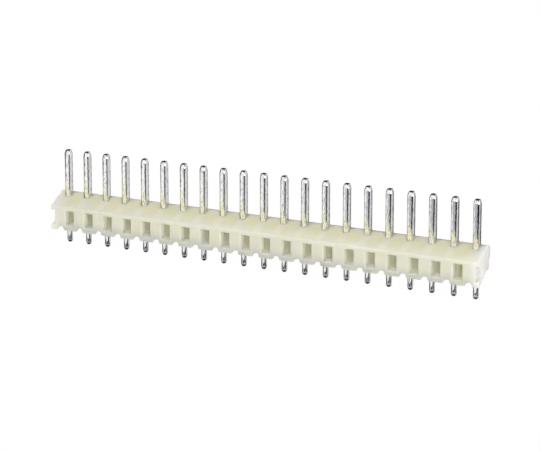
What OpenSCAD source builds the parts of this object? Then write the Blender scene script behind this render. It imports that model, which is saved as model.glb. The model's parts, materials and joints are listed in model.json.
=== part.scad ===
// Pin header strip: one row of square posts with round solder tails, pressed
// through a moulded nylon housing that was broken off a longer strip.
//
// X runs along the row and +Z points up. Z = 0 is the face of the circuit board
// that the feet stand on. Y = 0 is the line of the pins and the front, with the
// sloping top and the row of pockets, faces -Y. X = 0 is the middle of the row.

/* [Row] */
// Number of pins
pin_count = 21; // [2:1:36]
// Distance from one pin to the next
pitch = 3.96; // [3.6:0.02:5.08]
// How much shorter than half a pitch each broken end is
end_trim = 0.1; // [0:0.05:0.3]

/* [Posts] */
// Width of the square post across its flats
post_w = 1.14; // [1.06:0.02:1.2]
// Radius on the post's four long corners
post_corner_r = 0.14; // [0.05:0.01:0.25]
// How far the post stands above the housing, measured along its axis
post_reach = 7.95; // [4:0.05:14]
// Length of the coined lead-in at the tip
tip_len = 0.9; // [0.4:0.05:1.2]
// Width of the small flat that ends the tip
tip_flat_w = 0.58; // [0.3:0.02:0.7]
// Gap between a post and each side of its square hole, nothing for a pressed post
post_gap = 0; // [0:0.01:0.05]

/* [Tails] */
// Diameter of the round solder tail
tail_d = 1.02; // [0.7:0.02:1.06]
// How far the tail reaches below the board's upper face
tail_reach = 2.8; // [2:0.1:6]
// Length of the tail's bullet-shaped end
tail_end_len = 0.55; // [0.3:0.05:0.9]
// Diameter of the small flat that ends the tail
tail_flat_d = 0.4; // [0.2:0.02:0.6]
// Height above the board at which the square part gives way to the round tail
tail_top_h = 0.6; // [0:0.05:0.8]
// Length of the taper from the square part to the round tail
shoulder_len = 0.35; // [0.2:0.05:0.6]

/* [Housing section] */
// Distance from the pins to the front face
front_d = 3.1; // [2.9:0.02:3.5]
// Distance from the pins to the back face
back_d = 1.26; // [1.2:0.02:1.8]
// Height of the front face above the gaps between the feet
face_h = 3.6; // [3.5:0.05:4.5]
// Rise of the sloping top, in degrees
top_angle = 30; // [20:1:35]
// Radius of the rounded ridge where the sloping top meets the back
ridge_r = 0.6; // [0.3:0.02:0.8]
// Height of the flat band at the top of the back face
band_h = 1.3; // [0.5:0.05:1.4]
// Height of the taper under that band
taper_h = 0.55; // [0.3:0.05:0.8]
// How far the lower back is set in from the band
back_inset = 0.4; // [0.1:0.02:0.44]
// Height of the lower back edge above the board
heel_h = 2.4; // [2.2:0.05:2.6]
// Height of the bend in the underside above the board
knee_h = 2.05; // [1.6:0.05:2.1]
// Distance of that bend in front of the pins
knee_d = 0.4; // [0.2:0.05:0.6]

/* [Feet] */
// Height of the gaps between the feet
foot_h = 0.65; // [0.4:0.05:0.8]
// Depth of the flat sole of a foot, front to back
sole_d = 0.25; // [0.2:0.05:0.6]
// Width of a gap at the board
gap_low_w = 1.42; // [1.2:0.02:1.8]
// Width of a gap at its top
gap_top_w = 0.96; // [0.6:0.02:1.1]

/* [Pockets] */
// Width of a pocket in the front face
pocket_w = 1.76; // [1.2:0.02:2]
// Depth of a pocket from the front face
pocket_d = 1.3; // [1:0.02:1.4]
// Height of the lip of wall left above a pocket
pocket_lip = 0.7; // [0.5:0.05:0.8]
// Height of a pocket's back wall
pocket_back_h = 2.25; // [1.6:0.05:2.25]
// How far the pocket's floor falls towards the front
floor_fall = 0.5; // [0.2:0.05:0.5]

/* [Hidden] */
// Overlap that makes a cut pass clean through a face
cut = 0.5;
// Facets of a full circle
round_fn = 48;
// Flat steps that a rounded edge is drawn in
corner_steps = 3;
lead_in_steps = 5;
ridge_steps = 10;

function two_digits(i) = i < 10 ? str("0", i) : str(i);
function pin_name(i) = str("pin_", two_digits(i));

row_len = pin_count * pitch - 2 * end_trim;

// The section of the housing, worked out from the board up
crease_z = foot_h + face_h;
ridge_y = back_d - ridge_r;
ridge_z = top_z(ridge_y) - ridge_r / cos(top_angle);
band_low_z = ridge_z - band_h;
inset_y = back_d - back_inset;
inset_z = band_low_z - taper_h;

// The pockets hang from the crease between the front face and the sloping top
pocket_top_z = crease_z - pocket_lip;
pocket_back_z = pocket_top_z - pocket_back_h;
pocket_back_y = pocket_d - front_d;
pocket_front_z = pocket_back_z - floor_fall;

// Heights along a pin
post_top_z = top_z(0) + post_reach;
tail_wall_low_z = tail_end_len - tail_reach;

// Height of the sloping top at a distance y from the line of the pins
function top_z(y) = crease_z + (y + front_d) * tan(top_angle);

// Place of pin i along the row, where the first pin is 1
function pin_x(i) = (i - (pin_count + 1) / 2) * pitch;

// Points along an arc, with its two angles counted anticlockwise from the first axis
function arc(centre, r, from, to, steps) =
    [for (k = [0:steps]) let (a = from + (to - from) * k / steps)
        centre + r * [cos(a), sin(a)]];

// Radius of the arc that leaves a straight side smoothly and moves in by inset over len
function lead_in_r(inset, len) = (inset * inset + len * len) / (2 * inset);

// Points of that arc, up from height z at a distance x from the middle
function lead_in(x, z, inset, len) = let (r = lead_in_r(inset, len))
    arc([x - r, z], r, 0, acos(1 - inset / r), lead_in_steps);

// The same points on the other side, in the order that closes an outline
function mirrored(points) = [for (k = [len(points) - 1:-1:0]) [-points[k].x, points[k].y]];

// The housing's outline from the end, with Y across and Z up
module section() {
    polygon(concat(
        [[-front_d, 0], [-front_d, crease_z]],
        arc([ridge_y, ridge_z], ridge_r, 90 + top_angle, 0, ridge_steps),
        [
            [back_d, band_low_z],
            [inset_y, inset_z],
            [inset_y, heel_h],
            [-knee_d, knee_h],
            [sole_d - front_d, 0]
        ]
    ));
}

// A prism along X with the outline of its children, which have Y across and Z up
module along_row(len) {
    rotate([90, 0, 90]) translate([0, 0, -len / 2]) linear_extrude(height = len) children();
}

// A prism along Y with the outline of its children, which have X across and Z up
module across_row(len) {
    rotate([90, 0, 0]) translate([0, 0, -len / 2]) linear_extrude(height = len) children();
}

// What is taken out for one pocket, with its floor falling to the front
module pocket() {
    along_row(pocket_w) polygon([
        [pocket_back_y, pocket_top_z],
        [pocket_back_y, pocket_back_z],
        [-front_d, pocket_front_z],
        [-front_d - cut, pocket_front_z],
        [-front_d - cut, pocket_top_z]
    ]);
}

// What is taken out between two feet, wider at the board
module foot_gap() {
    flare = (gap_low_w - gap_top_w) / 2 / foot_h;
    across_row(2 * (front_d + back_d)) polygon([
        [-gap_top_w / 2, foot_h],
        [gap_top_w / 2, foot_h],
        [gap_low_w / 2 + flare * cut, -cut],
        [-gap_low_w / 2 - flare * cut, -cut]
    ]);
}

// The square hole that a post is pressed through
module post_hole() {
    hole_w = post_w + 2 * post_gap;
    translate([-hole_w / 2, -hole_w / 2, 0]) cube([hole_w, hole_w, post_top_z]);
}

// The moulded housing, cut through its end pockets where it was broken off
module housing() {
    color("ivory") difference() {
        along_row(row_len) section();
        for (i = [0:pin_count]) translate([pin_x(i) + pitch / 2, 0, 0]) pocket();
        for (i = [1:pin_count]) translate([pin_x(i), 0, 0]) {
            foot_gap();
            post_hole();
        }
    }
}

// The square post's section, with its long corners rounded
module post_section() {
    middle = post_w / 2 - post_corner_r;
    polygon([
        for (turn = [0:90:270])
            each arc(middle * sqrt(2) * [cos(turn + 45), sin(turn + 45)],
                     post_corner_r, turn, turn + 90, corner_steps)
    ]);
}

// Outline of a bar of height total that narrows to tip_flat_w in two arcs at its tip
module coined(total) {
    side = lead_in(post_w / 2, total - tip_len, (post_w - tip_flat_w) / 2, tip_len);
    polygon(concat([[-post_w / 2, 0], [post_w / 2, 0]], side, mirrored(side)));
}

// The square part of a pin, coined on all four sides at its tip and turned down
// to the tail's diameter at its foot
module post() {
    total = post_top_z - tail_top_h;
    diagonal = post_w * sqrt(2);
    translate([0, 0, tail_top_h]) intersection() {
        linear_extrude(height = total) post_section();
        across_row(2 * post_w) coined(total);
        rotate([0, 0, 90]) across_row(2 * post_w) coined(total);
        rotate_extrude($fn = round_fn) polygon([
            [0, 0], [tail_d / 2, 0], [diagonal / 2, shoulder_len], [diagonal / 2, total], [0, total]
        ]);
    }
}

// The round tail that goes through the board, with its bullet-shaped end
module tail() {
    translate([0, 0, tail_wall_low_z])
        cylinder(h = tail_top_h - tail_wall_low_z, d = tail_d, $fn = round_fn);
    translate([0, 0, tail_wall_low_z]) mirror([0, 0, 1]) rotate_extrude($fn = round_fn)
        polygon(concat(
            [[0, 0]],
            lead_in(tail_d / 2, 0, (tail_d - tail_flat_d) / 2, tail_end_len),
            [[0, tail_end_len]]
        ));
}

// One pin of the row
module pin(i) {
    color("silver") translate([pin_x(i), 0, 0]) {
        post();
        tail();
    }
}

housing();
for (i = [1:pin_count])
    pin(i);
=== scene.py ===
"""Looks of a pin header strip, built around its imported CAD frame.

A row of square tinned posts with round solder tails stands in a moulded housing of natural
nylon. The frame gives every place and overall size; this script gives each piece its fine
form and its finish, and sets up a plain white studio and the camera.
"""
import json
import logging
import math
from dataclasses import dataclass, field
from enum import Enum

import bmesh
import bpy
import numpy as np
from mathutils import Matrix, Vector


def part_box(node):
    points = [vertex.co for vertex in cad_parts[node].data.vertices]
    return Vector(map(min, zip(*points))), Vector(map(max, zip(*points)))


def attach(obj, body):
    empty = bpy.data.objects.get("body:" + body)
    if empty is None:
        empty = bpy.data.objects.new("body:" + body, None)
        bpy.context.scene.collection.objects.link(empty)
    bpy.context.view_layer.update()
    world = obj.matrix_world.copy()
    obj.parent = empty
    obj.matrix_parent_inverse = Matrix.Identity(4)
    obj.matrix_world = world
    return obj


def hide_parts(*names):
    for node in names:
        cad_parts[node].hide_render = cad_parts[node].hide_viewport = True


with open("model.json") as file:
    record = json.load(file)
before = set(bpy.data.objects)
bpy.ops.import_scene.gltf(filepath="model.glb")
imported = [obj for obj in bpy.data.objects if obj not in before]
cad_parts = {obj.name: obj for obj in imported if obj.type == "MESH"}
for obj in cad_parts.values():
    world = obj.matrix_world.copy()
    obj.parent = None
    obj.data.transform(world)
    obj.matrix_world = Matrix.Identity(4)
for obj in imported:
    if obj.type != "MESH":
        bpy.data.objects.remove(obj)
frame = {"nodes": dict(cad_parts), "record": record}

MM = 0.001
BODY = "root"
log = logging.getLogger("pin_header_strip")

# A start and an end, in the unit that its use names
Span = tuple[float, float]
Colour = tuple[float, float, float, float]
Socket = bpy.types.NodeSocket
Tree = bpy.types.NodeTree


def linear(hex_colour: str) -> Colour:
    """Turn an sRGB hex colour into linear light.

    Up to 0.04045 the curve is the value over 12.92, and above that it is the 2.4th power of
    (value + 0.055) / 1.055.

    Args:
        hex_colour: Six hexadecimal digits, such as "E8E4CF".

    Returns:
        Red, green and blue in linear light, and an alpha of 1.
    """
    srgb = [int(hex_colour[k:k + 2], 16) / 255 for k in (0, 2, 4)]
    light = [c / 12.92 if c <= 0.04045 else ((c + 0.055) / 1.055) ** 2.4 for c in srgb]
    return (*light, 1.0)


def add_node(tree: Tree, kind: str, links: dict | None = None, **settings: str) -> bpy.types.Node:
    """Add one node to a tree.

    Args:
        tree: The tree that gets the node.
        kind: Blender's name for the node type.
        links: For each input, by name or index, a value or the output socket that feeds it.
        **settings: Attributes of the node itself, such as its operation.

    Returns:
        The new node.
    """
    node = tree.nodes.new(kind)
    for name, value in settings.items():
        setattr(node, name, value)
    for name, source in (links or {}).items():
        if isinstance(source, Socket):
            tree.links.new(source, node.inputs[name])
        else:
            node.inputs[name].default_value = source
    return node


def new_material(name: str) -> tuple[bpy.types.Material, Tree, bpy.types.Node]:
    """Make an empty node material.

    Args:
        name: The material's name.

    Returns:
        The material, its node tree and its output node.
    """
    material = bpy.data.materials.new(name)
    material.use_nodes = True
    material.node_tree.nodes.clear()
    output = add_node(material.node_tree, "ShaderNodeOutputMaterial")
    return material, material.node_tree, output


def mesh_object(name: str, points: np.ndarray, faces: list[list[int]],
                sharp_deg: float = 30) -> bpy.types.Object:
    """Make a mesh object at the origin with its place in its mesh.

    Args:
        name: The object's name.
        points: Vertices in metres, one row each.
        faces: Vertex numbers of each face, anticlockwise as seen from outside.
        sharp_deg: Edges that turn by more than this are shaded as sharp.

    Returns:
        The new object, linked to the scene.
    """
    mesh = bpy.data.meshes.new(name)
    mesh.from_pydata(points.tolist(), [], faces)
    mesh.shade_smooth()
    mesh.set_sharp_from_angle(angle=math.radians(sharp_deg))
    piece = bpy.data.objects.new(name, mesh)
    bpy.context.scene.collection.objects.link(piece)
    return piece


def tube_faces(rows: int, columns: int) -> list[list[int]]:
    """List the faces of rings of points that are stacked upwards and closed at both ends.

    Vertex r * columns + c is point c of ring r. Each quad takes two neighbours from a ring and
    the same two from the ring above, and the last column joins the first. The two vertices
    after the rings are the middles of the lower and the upper end, each joined to its ring by
    a fan of triangles.

    Args:
        rows: How many rings there are.
        columns: How many points a ring has.

    Returns:
        The vertex numbers of each face, which faces outwards.
    """
    r, c = np.meshgrid(np.arange(rows - 1), np.arange(columns), indexing="ij")
    lower, nxt = r * columns, (c + 1) % columns
    quads = np.stack([lower + c, lower + nxt, lower + columns + nxt, lower + columns + c], -1)
    first, beside = c[0], nxt[0]
    last = (rows - 1) * columns
    middle = np.full_like(first, rows * columns)
    lower_fan = np.stack([middle, beside, first], -1)
    upper_fan = np.stack([middle + 1, last + first, last + beside], -1)
    return quads.reshape(-1, 4).tolist() + lower_fan.tolist() + upper_fan.tolist()


class Along(Enum):
    """What a zone of the nylon is measured along."""

    FROM_END = "along the row, inwards from the nearest broken end"
    FROM_PIN = "along the row, from the nearest pin"
    DEPTH = "Y, backwards from the line of the pins"
    HEIGHT = "Z, upwards from the board"


@dataclass(frozen=True)
class Zone:
    """A part of the moulding with a colour of its own, with painted shade, or with painted light.

    Each rise gives what it is measured along, and in mm where the colour starts and where it
    is full. The share of the colour is the product of its rises, times the most it may be.
    """

    colour: str
    rises: tuple[tuple[Along, float, float], ...]
    most: float = 1.0

    def share(self, tree: Tree, coordinates: dict[Along, Socket]) -> Socket:
        """Work out how much of the zone's colour a point has.

        Args:
            tree: The material's tree.
            coordinates: The coordinates in metres.

        Returns:
            The output socket with the share.
        """
        share: float | Socket = self.most
        for along, start, full in self.rises:
            reach = {"Value": coordinates[along], "From Min": start * MM, "From Max": full * MM}
            rise = add_node(tree, "ShaderNodeMapRange", reach, interpolation_type="SMOOTHSTEP")
            product = {0: rise.outputs["Result"], 1: share}
            share = add_node(tree, "ShaderNodeMath", product, operation="MULTIPLY").outputs[0]
        return share


@dataclass(frozen=True)
class NaturalNylon:
    """Nylon 66 without pigment, injection moulded."""

    # Light enters a little way before it scatters back. To the eye that gives a waxy off-white
    # with soft shadows, yellower where it is thick, under the low gloss of a mould's finish.
    name: str = "natural_nylon_moulded"
    body: str = "EBEBE0"
    cloud: str = "E4E3D2"
    roughness: float = 0.28
    ior: float = 1.53
    clear: float = 0.2
    scatter_mm: float = 0.8
    scatter_by_colour: tuple[float, float, float] = (1.0, 0.92, 0.6)
    # Faint clouds in the melt
    cloud_mm: float = 2.6
    cloud_detail: float = 3.0
    # The mould's eroded finish, drawn about five times as coarse as the real one so that it shows
    grain_mm: float = 0.22
    grain_detail: float = 2.0
    grain_strength: float = 0.15
    grain_height_mm: float = 0.004
    zones: tuple[Zone, ...] = (
        # The sloping top, which is the thickest part
        Zone("E6E3C6", ((Along.HEIGHT, 4.4, 5.2), (Along.HEIGHT, 6.45, 5.8))),
        # The feet, greyer towards the board
        Zone("D0D2CE", ((Along.HEIGHT, 2.2, 0.2),)),
        # Painted shade: the back walls of the pockets, darker and yellower where they lie deep in the
        # recesses
        Zone("D3D2B8", ((Along.DEPTH, -2.4, -1.84), (Along.DEPTH, -1.5, -1.7),
                        (Along.HEIGHT, 3.65, 3.5), (Along.HEIGHT, 0.7, 2.1))),
        # The broken ends, whiter towards each end
        Zone("F4F3F0", ((Along.FROM_END, 2.28, 0.08),)),
        # Painted light: a pale band in front of each post, standing in for its bright metal seen through
        # the nylon
        Zone("F6F4E6", ((Along.FROM_PIN, 1.05, 0.3), (Along.HEIGHT, 4.2, 4.6), (Along.DEPTH, -0.3, -0.6)),
             most=0.42),
    )

    def colour(self, tree: Tree, place: Socket, pitch: float, half_len: float) -> Socket:
        """Vary the nylon's colour with its thickness, paint shade into the pockets' back walls, and paint
        a pale band of light in front of each post.

        Args:
            tree: The material's tree.
            place: The Object coordinates.
            pitch: The distance between the pins in metres.
            half_len: Half the length of the row in metres.

        Returns:
            The output socket with the colour.
        """
        clouds = add_node(tree, "ShaderNodeTexNoise", {
            "Vector": place, "Scale": 1 / (self.cloud_mm * MM), "Detail": self.cloud_detail})
        axes = add_node(tree, "ShaderNodeSeparateXYZ", {"Vector": place}).outputs
        from_middle = add_node(tree, "ShaderNodeMath", {0: axes["X"]}, operation="ABSOLUTE").outputs[0]
        from_end = add_node(tree, "ShaderNodeMath", {0: half_len, 1: from_middle}, operation="SUBTRACT")
        from_pin = add_node(tree, "ShaderNodeMath", {0: axes["X"], 1: pitch / 2}, operation="PINGPONG")
        coordinates = {Along.FROM_END: from_end.outputs[0], Along.FROM_PIN: from_pin.outputs[0],
                       Along.DEPTH: axes["Y"], Along.HEIGHT: axes["Z"]}
        tint: Colour | Socket = linear(self.body)
        layers = [(clouds.outputs["Fac"], self.cloud)]
        layers += [(zone.share(tree, coordinates), zone.colour) for zone in self.zones]
        for share, colour in layers:
            mixed = {"Factor": share, "A": tint, "B": linear(colour)}
            tint = add_node(tree, "ShaderNodeMix", mixed, data_type="RGBA").outputs["Result"]
        return tint

    def material(self, pitch: float, half_len: float) -> bpy.types.Material:
        """Build the node material, with patterns on Object coordinates.

        Args:
            pitch: The distance between the pins in metres.
            half_len: Half the length of the row in metres.

        Returns:
            The material.
        """
        material, tree, output = new_material(self.name)
        place = add_node(tree, "ShaderNodeTexCoord").outputs["Object"]
        grain = add_node(tree, "ShaderNodeTexNoise", {
            "Vector": place, "Scale": 1 / (self.grain_mm * MM), "Detail": self.grain_detail})
        bump = add_node(tree, "ShaderNodeBump", {
            "Height": grain.outputs["Fac"], "Strength": self.grain_strength,
            "Distance": self.grain_height_mm * MM})
        shader = add_node(tree, "ShaderNodeBsdfPrincipled", {
            "Base Color": self.colour(tree, place, pitch, half_len), "Roughness": self.roughness,
            "IOR": self.ior, "Subsurface Weight": 1.0, "Subsurface Radius": self.scatter_by_colour,
            "Subsurface Scale": self.scatter_mm * MM, "Transmission Weight": self.clear,
            "Normal": bump.outputs["Normal"]})
        tree.links.new(shader.outputs["BSDF"], output.inputs["Surface"])
        return material


@dataclass(frozen=True)
class BrightTin:
    """Bright tin plate over drawn brass wire."""

    # To the eye it is a pale mirror, which shows the studio as bright and dark bands along the
    # wire. Faint streaks from the drawing cloud it and fray the bands' edges.
    name: str = "bright_tin_plate"
    colour: str = "F7F7F5"
    dull: str = "AEB0BE"
    roughness: float = 0.05
    dull_roughness: float = 0.2
    # The drawing lines, about ten times as coarse as the real ones so that they show, and
    # drawn out along the wire by the inverse of draw_squeeze
    draw_mm: float = 0.2
    draw_squeeze: float = 0.3
    draw_detail: float = 4.0
    draw_strength: float = 0.5
    draw_height_mm: float = 0.02
    # Where in the noise the plate starts to be dull, and is as dull as it gets
    dull_from: float = 0.5
    dull_full: float = 0.75

    def material(self) -> bpy.types.Material:
        """Build the node material, with a pattern drawn out along Z on Object coordinates.

        Returns:
            The material.
        """
        material, tree, output = new_material(self.name)
        place = add_node(tree, "ShaderNodeTexCoord").outputs["Object"]
        along = add_node(tree, "ShaderNodeMapping", {
            "Vector": place, "Scale": (1.0, 1.0, self.draw_squeeze)})
        draw = add_node(tree, "ShaderNodeTexNoise", {
            "Vector": along.outputs["Vector"], "Scale": 1 / (self.draw_mm * MM),
            "Detail": self.draw_detail})
        cloud = add_node(tree, "ShaderNodeMapRange", {
            "Value": draw.outputs["Fac"], "From Min": self.dull_from, "From Max": self.dull_full})
        tint = add_node(tree, "ShaderNodeMix", {
            "Factor": cloud.outputs["Result"], "A": linear(self.colour), "B": linear(self.dull)},
            data_type="RGBA")
        rough = add_node(tree, "ShaderNodeMapRange", {
            "Value": cloud.outputs["Result"], "To Min": self.roughness, "To Max": self.dull_roughness})
        bump = add_node(tree, "ShaderNodeBump", {
            "Height": draw.outputs["Fac"], "Strength": self.draw_strength,
            "Distance": self.draw_height_mm * MM})
        shader = add_node(tree, "ShaderNodeBsdfPrincipled", {
            "Base Color": tint.outputs["Result"], "Metallic": 1.0, "Roughness": rough.outputs["Result"],
            "Normal": bump.outputs["Normal"]})
        tree.links.new(shader.outputs["BSDF"], output.inputs["Surface"])
        return material


@dataclass
class Housing:
    """The nylon moulding: the frame's own solid with the small radii that a mould leaves on its edges."""

    node: str = "housing"
    name: str = "moulded_housing"
    edge_r: float = 0.06 * MM
    edge_steps: int = 2
    # Edges that turn by more than edge_deg are rounded, and faces that turn by less than flat_deg
    # become one
    edge_deg: float = 24
    flat_deg: float = 0.5
    sharp_deg: float = 40
    merge: float = 0.001 * MM
    finish: NaturalNylon = field(default_factory=NaturalNylon)

    def rounded_mesh(self) -> bpy.types.Mesh:
        """Copy the node's mesh, merge its loose triangles and round its edges.

        Returns:
            The new mesh, in the node's place.
        """
        mesh = frame["nodes"][self.node].data.copy()
        mesh.name = self.name
        form = bmesh.new()
        form.from_mesh(mesh)
        bmesh.ops.remove_doubles(form, verts=form.verts, dist=self.merge)
        flat = math.radians(self.flat_deg)
        bmesh.ops.dissolve_limit(form, angle_limit=flat, verts=form.verts, edges=form.edges)
        turned = math.radians(self.edge_deg)
        corners = [e for e in form.edges if len(e.link_faces) == 2 and e.calc_face_angle(0) > turned]
        bmesh.ops.bevel(form, geom=corners, offset=self.edge_r, offset_type="OFFSET",
                        segments=self.edge_steps, profile=0.5, affect="EDGES", clamp_overlap=False,
                        loop_slide=True)
        form.to_mesh(mesh)
        form.free()
        mesh.shade_smooth()
        mesh.set_sharp_from_angle(angle=math.radians(self.sharp_deg))
        return mesh

    def build(self) -> bpy.types.Object:
        """Build and dress the moulding.

        Returns:
            The piece that stands for the node.
        """
        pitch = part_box("pin_02")[0].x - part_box("pin_01")[0].x
        half_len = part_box(self.node)[1].x
        mesh = self.rounded_mesh()
        mesh.materials.clear()
        mesh.materials.append(self.finish.material(pitch, half_len))
        piece = bpy.data.objects.new(self.name, mesh)
        bpy.context.scene.collection.objects.link(piece)
        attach(piece, BODY)
        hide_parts(self.node)
        return piece


@dataclass
class Pins:
    """The formed pins: square posts with coined tips, turned round below for the solder tails."""

    node_prefix: str = "pin_"
    tail_mount: str = "tail_11"
    # The wire's section: the superellipse's power, how far the flats fall away at their edges
    # as a share of the half width, and how closely the columns are bunched at the corners
    squareness: float = 7.0
    crown: float = 0.02
    bunching: float = 0.2
    columns: int = 64
    # The coined tip: its length, the width where its lead-in ends, and the radius of its top edge
    tip_len: float = 0.9 * MM
    tip_w: float = 0.76 * MM
    tip_edge_r: float = 0.15 * MM
    # The tail's bullet-shaped end, and the shoulder between the tail and the square post
    tail_end_len: float = 0.55 * MM
    tail_flat_d: float = 0.4 * MM
    tail_top: float = 0.6 * MM
    shoulder_len: float = 0.35 * MM
    # How many rings each stretch of a pin has, from the tail's end to the tip's edge
    end_rings: int = 9
    tail_rings: int = 4
    shoulder_rings: int = 6
    post_rings: int = 11
    tip_rings: int = 10
    edge_rings: int = 5
    sharp_deg: float = 32
    finish: BrightTin = field(default_factory=BrightTin)

    def section(self) -> np.ndarray:
        """Give the wire's drawn section, for a half width of 1.

        It is a superellipse: at an angle t the radius is 1 over the n-th root of
        |cos t| ** n + |sin t| ** n, which leaves the flats a touch crowned and rolls the corners.
        The angles are bunched at the corners, by t = u - bunching * sin(4 * u) shifted to a
        corner. Each flat then falls away from its middle by the crown times the square of the
        distance.

        Returns:
            One row of X and Y for each column, anticlockwise.
        """
        u = np.linspace(0, 2 * math.pi, self.columns, endpoint=False)
        t = u + math.pi / 4 - self.bunching * np.sin(4 * u)
        n = self.squareness
        radius = (np.abs(np.cos(t)) ** n + np.abs(np.sin(t)) ** n) ** (-1 / n)
        x, y = radius * np.cos(t), radius * np.sin(t)
        return np.stack([x * (1 - self.crown * y * y), y * (1 - self.crown * x * x)], -1)

    @staticmethod
    def lead_in(inset: float, length: float, s: np.ndarray) -> np.ndarray:
        """Give how far an arc has moved in that leaves a straight side smoothly.

        At a distance s it has moved in by r - sqrt(r * r - s * s), where r is
        (inset * inset + length * length) / (2 * inset).

        Args:
            inset: How far the arc moves in altogether.
            length: The distance over which it does so.
            s: The distances along the pin.

        Returns:
            How far the arc has moved in at each distance.
        """
        r = (inset ** 2 + length ** 2) / (2 * inset)
        return r - np.sqrt(r ** 2 - s ** 2)

    @staticmethod
    def rings(z: np.ndarray, half_w: np.ndarray | float, limit: np.ndarray | float) -> np.ndarray:
        """Put the heights, half widths and limiting radii of a stretch side by side, a ring to a row."""
        return np.stack(np.broadcast_arrays(z, half_w, limit), -1)

    def profile(self, low: float, high: float, half_w: float, tail_r: float) -> np.ndarray:
        """List the heights, half widths and limiting radii of a pin's rings.

        The tip and the tail's end both move in along a lead-in arc, and the shoulder is a cone.
        The tip's edge rolls over from the lead-in's slope, twice atan(inset / length), to level.

        Args:
            low: Height of the tail's end.
            high: Height of the tip.
            half_w: Half the post's width.
            tail_r: Radius of the tail.

        Returns:
            One row for each ring: height, half width and limiting radius.
        """
        unlimited = 2 * half_w
        to_wall = np.linspace(self.tail_end_len, 0, self.end_rings)
        end_in = self.lead_in(tail_r - self.tail_flat_d / 2, self.tail_end_len, to_wall)
        end = self.rings(low + self.tail_end_len - to_wall, half_w, tail_r - end_in)

        tail_z = np.linspace(low + self.tail_end_len, self.tail_top, self.tail_rings + 1)[1:]
        tail = self.rings(tail_z, half_w, tail_r)

        share = np.linspace(0, 1, self.shoulder_rings + 1)[1:]
        cone_r = tail_r + share * (half_w * math.sqrt(2) - tail_r)
        shoulder = self.rings(self.tail_top + share * self.shoulder_len, half_w, cone_r)

        post_z = np.linspace(shoulder[-1, 0], high - self.tip_len, self.post_rings + 1)[1:]
        post = self.rings(post_z, half_w, unlimited)

        inset, length = half_w - self.tip_w / 2, self.tip_len - self.tip_edge_r / 2
        up = np.linspace(0, length, self.tip_rings + 1)[1:]
        tip = self.rings(high - self.tip_len + up, half_w - self.lead_in(inset, length, up), unlimited)

        slope = 2 * math.atan(inset / length)
        a = np.linspace(slope, math.pi / 2, self.edge_rings + 1)[1:]
        rise = (np.sin(a) - math.sin(slope)) / (1 - math.sin(slope)) * self.tip_edge_r / 2
        edge_in = self.tip_edge_r * (math.cos(slope) - np.cos(a))
        edge = self.rings(tip[-1, 0] + rise, self.tip_w / 2 - edge_in, unlimited)
        return np.concatenate([end, tail, shoulder, post, tip, edge])

    def pin_points(self, low: Vector, high: Vector, tail_r: float) -> tuple[np.ndarray, int]:
        """Work out the points of one pin.

        A ring is the wire's section times the ring's half width, with each point that lies
        outside the ring's limiting radius drawn straight in to it.

        Args:
            low: The lowest corner of the pin's box.
            high: The highest corner of the pin's box.
            tail_r: Radius of the tail.

        Returns:
            The points in metres, ring by ring and then the middles of both ends, and the count
            of rings.
        """
        centre = (low + high) / 2
        z, half_w, limit = self.profile(low.z, high.z, (high.x - low.x) / 2, tail_r).T
        flat = half_w[:, None, None] * self.section()
        radius = np.linalg.norm(flat, axis=-1, keepdims=True)
        flat = flat * np.minimum(1, limit[:, None, None] / radius) + [centre.x, centre.y]
        heights = np.broadcast_to(z[:, None, None], (*flat.shape[:2], 1))
        rings = np.concatenate([flat, heights], -1).reshape(-1, 3)
        middles = [[centre.x, centre.y, low.z], [centre.x, centre.y, high.z]]
        return np.concatenate([rings, middles]), len(z)

    def build(self) -> list[bpy.types.Object]:
        """Build and dress every pin of the row in the place of its node.

        Returns:
            The new pieces, from the first pin to the last.
        """
        mounts = {mount["name"]: mount for mount in frame["record"]["mounts"]}
        tail_r = mounts[self.tail_mount]["dims"]["r_mm"] * MM
        material = self.finish.material()
        pieces = []
        for name in sorted(n for n in frame["nodes"] if n.startswith(self.node_prefix)):
            points, rows = self.pin_points(*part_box(name), tail_r)
            faces = tube_faces(rows, self.columns)
            piece = mesh_object(f"tinned_{name}", points, faces, self.sharp_deg)
            piece.data.materials.append(material)
            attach(piece, BODY)
            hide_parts(name)
            pieces.append(piece)
        return pieces


class Seen(Enum):
    """Which rays a studio surface is there for."""

    UNMIRRORED = "all but mirror rays"
    MIRRORED = "mirror rays alone"


@dataclass(frozen=True)
class Lamp:
    """A soft square lamp that points at the middle of the row: its place and its side in mm."""

    name: str
    place: tuple[float, float, float]
    side: float
    watts: float
    mirrored: bool = True

    def hang(self) -> None:
        """Add the lamp to the scene."""
        data = bpy.data.lights.new(self.name, "AREA")
        data.shape = "SQUARE"
        data.size = self.side * MM
        data.energy = self.watts
        place = Vector(self.place) * MM
        lamp = bpy.data.objects.new(self.name, data)
        lamp.location = place
        lamp.visible_glossy = self.mirrored
        lamp.rotation_mode = "QUATERNION"
        lamp.rotation_quaternion = (-place).to_track_quat("-Z", "Y")
        bpy.context.scene.collection.objects.link(lamp)


@dataclass(frozen=True)
class Flag:
    """A card curved round the set: its ends' angles in degrees, its edges' Z in mm, and its colour.

    The angles are counted from the front towards the right.
    """

    name: str
    turn: Span
    heights: Span
    colour: str


@dataclass(frozen=True)
class Card:
    """A level card: its X, Y and Z in mm and its colour. With no Z it lies at the floor's height."""

    name: str
    x: Span
    y: Span
    colour: str
    z: float | None = None


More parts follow.
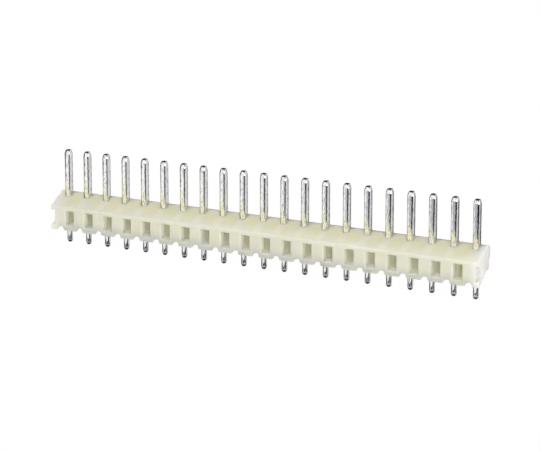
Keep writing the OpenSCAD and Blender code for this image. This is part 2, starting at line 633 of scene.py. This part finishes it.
@dataclass
class Studio:
    """A white paper floor, soft lamps, flags round the set for the metal to mirror, and the camera."""

    # The camera looks this far from the right of the front, and from this far above
    azimuth_deg: float = 29.0
    elevation_deg: float = 13.83
    # The focal length, and the width of the picture, both in pixels
    lens_px: float = 2457.0
    image_w_px: float = 540.0
    sensor_mm: float = 36.0
    clip_m: Span = (0.01, 20.0)
    # Where the frame's origin lies from the camera, in mm to the right, upwards and forwards
    offset_mm: tuple[float, float, float] = (-1.018, -4.787, 419.5)
    # How bright the floor shows, just under white, and the strength of the light from all round
    floor_white: float = 0.985
    paper: str = "F3F1E7"
    floor_half_mm: float = 3000.0
    soft_strength: float = 0.42
    lamps: tuple[Lamp, ...] = (
        Lamp("key_lamp", (-350, -350, 600), side=500, watts=2.35),
        Lamp("fill_lamp", (520, -480, 150), side=250, watts=2.85),
        Lamp("back_lamp", (50, 550, 400), side=600, watts=2.5, mirrored=False),
    )
    # The flags stand far off, so that every pin mirrors them alike, and are curved in these steps
    flag_r_mm: float = 3000.0
    flag_step_deg: float = 4.0
    flags: tuple[Flag, ...] = (
        # The dark stripe down each post, from the right of its front round the corner
        Flag("front_flag", (-18.5, 110), (-975, -210), "262629"),
        # The greyer fronts towards the right end of the row
        Flag("grey_flag", (-27, -18.5), (-975, -210), "B6B8C2"),
        # The dark outline down the left of each post
        Flag("left_flag", (-100, -38), (-975, 1500), "212224"),
        # The dark cap of each tip
        Flag("cap_flag", (-200, -128), (300, 2000), "262629"),
        # The dark outline down the right of each post
        Flag("edge_flag", (154, 168), (-975, 1500), "262629"),
        # The pale grey of the posts' right faces
        Flag("back_flag", (120, 154), (-975, 1500), "DADADC"),
        # A tone on the metal as seen from behind
        Flag("rear_flag", (168, 200), (-1750, -210), "D0D1D4"),
    )
    cards: tuple[Card, ...] = (
        # The cream sheen at the foot of each post
        Card("sheen_card", (-120, 80), (-39.5, -29), "F4F0CC"),
        # The bright fronts of the tails
        Card("tail_card", (-120, 80), (-12, -4.5), "F3F3F1"),
        # The dark ends of the tails, and round it the grey of upright metal seen from above
        Card("under_flag", (-420, 420), (-420, 420), "3F3F3F", z=-350),
        Card("under_card", (-1000, 1000), (-1000, 1000), "AEB0B6", z=-360),
        # The dark line along the top edge of each tip
        Card("over_flag", (-550, 550), (-550, 550), "383838", z=350),
    )

    def place_camera(self) -> None:
        """Place the camera so that a point p shows at offset + (p . right, p . up, p . forward)."""
        az, el = math.radians(self.azimuth_deg), math.radians(self.elevation_deg)
        right = Vector((math.cos(az), math.sin(az), 0))
        forward = Vector((-math.sin(az) * math.cos(el), math.cos(az) * math.cos(el), -math.sin(el)))
        up = right.cross(forward)
        data = bpy.data.cameras.new("camera")
        data.sensor_width = self.sensor_mm
        data.lens = self.lens_px / self.image_w_px * self.sensor_mm
        data.clip_start, data.clip_end = self.clip_m
        camera = bpy.data.objects.new("camera", data)
        bpy.context.scene.collection.objects.link(camera)
        across, above, ahead = self.offset_mm
        place = -(right * across + up * above + forward * ahead) * MM
        turned = Matrix((right, up, -forward)).transposed().to_4x4()
        camera.matrix_world = Matrix.Translation(place) @ turned
        bpy.context.scene.camera = camera

    @staticmethod
    def ray_share(tree: Tree, rays: tuple[str, ...]) -> Socket:
        """Give 1 to some kinds of ray and 0 to the others.

        Args:
            tree: The tree of the material or the world.
            rays: The outputs of the Light Path node that name the kinds.

        Returns:
            The output socket with the share.
        """
        path = add_node(tree, "ShaderNodeLightPath")
        share = path.outputs[rays[0]]
        for ray in rays[1:]:
            either = {0: share, 1: path.outputs[ray]}
            share = add_node(tree, "ShaderNodeMath", either, operation="MAXIMUM").outputs[0]
        return share

    def light_world(self) -> None:
        """Light softly from all round, and show plain white to camera, mirror and glass rays."""
        world = bpy.data.worlds.new("studio")
        bpy.context.scene.world = world
        world.use_nodes = True
        tree = world.node_tree
        tree.nodes.clear()
        white = linear("FFFFFF")
        seen = self.ray_share(tree, ("Is Camera Ray", "Is Glossy Ray", "Is Transmission Ray"))
        soft = add_node(tree, "ShaderNodeBackground", {"Color": white, "Strength": self.soft_strength})
        plain = add_node(tree, "ShaderNodeBackground", {"Color": white, "Strength": 1.0})
        mix = add_node(tree, "ShaderNodeMixShader", {0: seen, 1: soft.outputs[0], 2: plain.outputs[0]})
        output = add_node(tree, "ShaderNodeOutputWorld")
        tree.links.new(mix.outputs[0], output.inputs["Surface"])

    @staticmethod
    def set_up(name: str, points: np.ndarray, faces: list[list[int]], material: bpy.types.Material,
               seen: Seen) -> None:
        """Set up one surface of the studio.

        Args:
            name: The surface's name.
            points: Its vertices in metres.
            faces: The vertex numbers of its faces.
            material: Its material.
            seen: Which rays it is there for.
        """
        piece = mesh_object(name, points, faces)
        piece.data.materials.append(material)
        if seen is Seen.MIRRORED:
            piece.visible_camera = False
            piece.visible_diffuse = False
            piece.visible_shadow = False
            piece.visible_transmission = False
        else:
            piece.visible_glossy = False

    @staticmethod
    def level_points(x: Span, y: Span, z: float) -> np.ndarray:
        """Give the corners of a level rectangle in metres, anticlockwise from above, from sizes in mm."""
        return np.array([[x[0], y[0], z], [x[1], y[0], z], [x[1], y[1], z], [x[0], y[1], z]]) * MM

    def lay_floor(self, low: float) -> None:
        """Lay a floor that shows plain white, lights the object as paper does, and takes its shadow.

        Args:
            low: The floor's height in mm, where the tails end.
        """
        material, tree, output = new_material("white_paper")
        seen = self.ray_share(tree, ("Is Camera Ray", "Is Transmission Ray"))
        share = add_node(tree, "ShaderNodeMath", {0: seen, 1: self.floor_white}, operation="MULTIPLY")
        paper = add_node(tree, "ShaderNodeBsdfDiffuse", {"Color": linear(self.paper)})
        white = add_node(tree, "ShaderNodeEmission", {"Color": linear("FFFFFF"), "Strength": 1.0})
        mix = add_node(tree, "ShaderNodeMixShader", {
            0: share.outputs[0], 1: paper.outputs[0], 2: white.outputs[0]})
        tree.links.new(mix.outputs[0], output.inputs["Surface"])
        reach = (-self.floor_half_mm, self.floor_half_mm)
        points = self.level_points(reach, reach, low)
        self.set_up("floor", points, [[0, 1, 2, 3]], material, Seen.UNMIRRORED)

    @staticmethod
    def glow(name: str, colour: str) -> bpy.types.Material:
        """Make a plain glowing material for a card.

        Args:
            name: The material's name.
            colour: Its colour as sRGB hex.

        Returns:
            The material.
        """
        material, tree, output = new_material(name)
        light = add_node(tree, "ShaderNodeEmission", {"Color": linear(colour), "Strength": 1.0})
        tree.links.new(light.outputs[0], output.inputs["Surface"])
        return material

    def stand_flag(self, flag: Flag) -> None:
        """Stand a flag up, which only mirrors see.

        Its points are (r * sin a, -r * cos a, z), with the angle a counted from the front
        towards the right: the lower edge forwards, and then the upper edge back.

        Args:
            flag: The flag.
        """
        steps = int(abs(flag.turn[1] - flag.turn[0]) / self.flag_step_deg)
        a = np.radians(np.linspace(*flag.turn, 1 + steps))
        edge = self.flag_r_mm * np.stack([np.sin(a), -np.cos(a), 0 * a], -1)
        low, high = np.array(flag.heights)[:, None] * [[0, 0, 1]]
        points = np.concatenate([edge + low, edge[::-1] + high]) * MM
        k = np.arange(steps)
        faces = np.stack([k, k + 1, 2 * steps - k, 2 * steps + 1 - k], -1).tolist()
        self.set_up(flag.name, points, faces, self.glow(flag.name, flag.colour), Seen.MIRRORED)

    def build(self) -> None:
        """Set the camera, the lamps, the world, the floor, the flags and the cards."""
        bpy.context.scene.view_settings.view_transform = "Standard"
        self.place_camera()
        self.light_world()
        low = min(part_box(node)[0].z for node in frame["nodes"]) / MM
        self.lay_floor(low)
        for lamp in self.lamps:
            lamp.hang()
        for flag in self.flags:
            self.stand_flag(flag)
        for card in self.cards:
            points = self.level_points(card.x, card.y, low if card.z is None else card.z)
            material = self.glow(card.name, card.colour)
            self.set_up(card.name, points, [[0, 1, 2, 3]], material, Seen.MIRRORED)


def main() -> None:
    """Build the studio and the pieces in order, and log each piece's face count."""
    logging.basicConfig(level=logging.INFO, format="%(name)s: %(message)s")
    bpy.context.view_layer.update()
    Studio().build()
    pieces = [Housing().build(), *Pins().build()]
    for piece in pieces:
        log.info("%s: %d faces", piece.name, len(piece.data.polygons))


if __name__ == "__main__":
    main()
